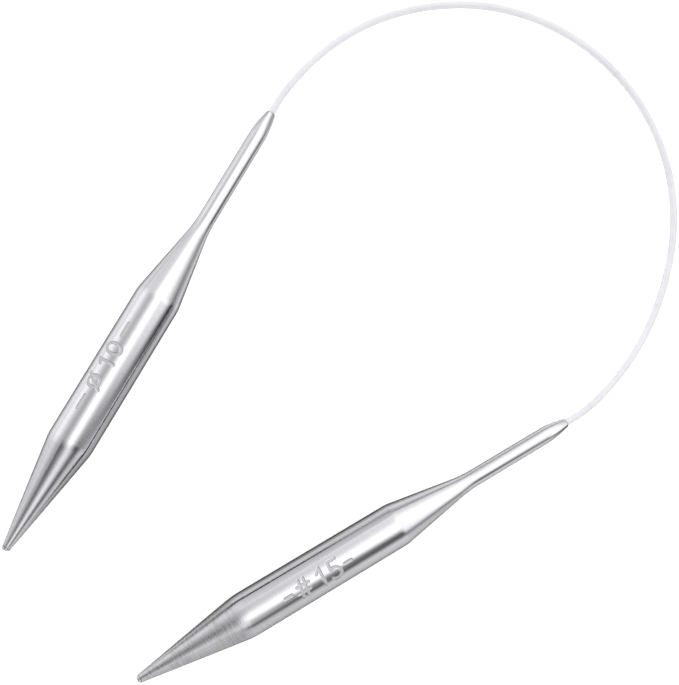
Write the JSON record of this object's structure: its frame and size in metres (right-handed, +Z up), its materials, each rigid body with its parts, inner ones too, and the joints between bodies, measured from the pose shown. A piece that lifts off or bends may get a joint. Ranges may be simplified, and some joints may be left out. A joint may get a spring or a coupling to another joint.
{
  "type": "circular knitting needle",
  "caption": "Fixed circular knitting needle: hollow steel needles with blunt points and thin necks, joined by a flexible nylon cable that swivels in them.",
  "frame": {"origin": "middle of the two needles in plan, on the table they lie on", "axes": "+Z up from the table, +Y from the points towards the cable loop, +X towards the right needle; the needles lie symmetrically about X = 0"},
  "size_m": [0.1029, 0.177, 0.01],
  "materials": {
    "needle_steel": "polished stainless steel, satin on the point cone, with a shallow size engraving",
    "nose_steel": "polished rounded nose",
    "ferrule_metal": "plain crimped sleeve",
    "cable_nylon": "smooth translucent white nylon, softly glossy"
  },
  "bodies": {
    "left_needle": {"left_needle_shell": "needle_steel", "left_point_plug": "nose_steel"},
    "cable_left_end": {"cable_left_end": "cable_nylon", "left_cable_ferrule": "ferrule_metal"},
    "cable_left_3": {"cable_left_3": "cable_nylon"},
    "cable_left_2": {"cable_left_2": "cable_nylon"},
    "cable_left_1": {"cable_left_1": "cable_nylon"},
    "right_needle": {"right_needle_shell": "needle_steel", "right_point_plug": "nose_steel"},
    "cable_right_end": {"cable_right_end": "cable_nylon", "right_cable_ferrule": "ferrule_metal"},
    "cable_right_3": {"cable_right_3": "cable_nylon"},
    "cable_right_2": {"cable_right_2": "cable_nylon"},
    "cable_right_1": {"cable_right_1": "cable_nylon"},
    "cable_middle": {"cable_middle": "cable_nylon"}
  },
  "joints": [
    {"name": "loop_flex", "type": "hinge", "parent": "cable_middle", "child": "cable_right_1", "pos_m": [0.0147, 0.1207, 0.00088], "axis": [0, 0, 1], "range_deg": [-2.2, 20], "stiffness_Nm_per_rad": 0.016},
    {"name": "flex_right_2", "type": "hinge", "parent": "cable_right_1", "child": "cable_right_2", "pos_m": [0.03905, 0.10318, 0.00088], "axis": [0, 0, 1], "range_deg": [-2.2, 20], "stiffness_Nm_per_rad": 0.016},
    {"name": "flex_right_3", "type": "hinge", "parent": "cable_right_2", "child": "cable_right_3", "pos_m": [0.04984, 0.07503, 0.00341], "axis": [0, 0, 1], "range_deg": [-2.2, 20], "stiffness_Nm_per_rad": 0.016},
    {"name": "right_needle_lift", "type": "hinge", "parent": "cable_right_3", "child": "cable_right_end", "pos_m": [0.04942, 0.05636, 0.00497], "axis": [-0.9699, 0.2436, 0], "range_deg": [0, 30], "stiffness_Nm_per_rad": 0.07},
    {"name": "right_needle_swivel", "type": "hinge", "parent": "cable_right_end", "child": "right_needle", "pos_m": [0.04851, 0.05298, 0.00498], "axis": [-0.263, -0.9648, 0], "continuous": true},
    {"name": "flex_left_1", "type": "hinge", "parent": "cable_middle", "child": "cable_left_1", "pos_m": [-0.01531, 0.1204, 0.00088], "axis": [0, 0, -1], "range_deg": [-2.2, 20], "stiffness_Nm_per_rad": 0.016},
    {"name": "flex_left_2", "type": "hinge", "parent": "cable_left_1", "child": "cable_left_2", "pos_m": [-0.03986, 0.10307, 0.00088], "axis": [0, 0, -1], "range_deg": [-2.2, 20], "stiffness_Nm_per_rad": 0.016},
    {"name": "flex_left_3", "type": "hinge", "parent": "cable_left_2", "child": "cable_left_3", "pos_m": [-0.05067, 0.07499, 0.00341], "axis": [0, 0, -1], "range_deg": [-2.2, 20], "stiffness_Nm_per_rad": 0.016},
    {"name": "left_needle_lift", "type": "hinge", "parent": "cable_left_3", "child": "cable_left_end", "pos_m": [-0.04942, 0.05636, 0.00497], "axis": [-0.9683, -0.2499, 0], "range_deg": [0, 30], "stiffness_Nm_per_rad": 0.07},
    {"name": "left_needle_swivel", "type": "hinge", "parent": "cable_left_end", "child": "left_needle", "pos_m": [-0.04851, 0.05298, 0.00498], "axis": [0.263, -0.9648, 0], "continuous": true}
  ],
  "couplings": [
    {"joint": "flex_right_2", "follows": "loop_flex", "ratio": 1},
    {"joint": "flex_right_3", "follows": "loop_flex", "ratio": 1},
    {"joint": "flex_left_1", "follows": "loop_flex", "ratio": 1},
    {"joint": "flex_left_2", "follows": "loop_flex", "ratio": 1},
    {"joint": "flex_left_3", "follows": "loop_flex", "ratio": 1}
  ]
}
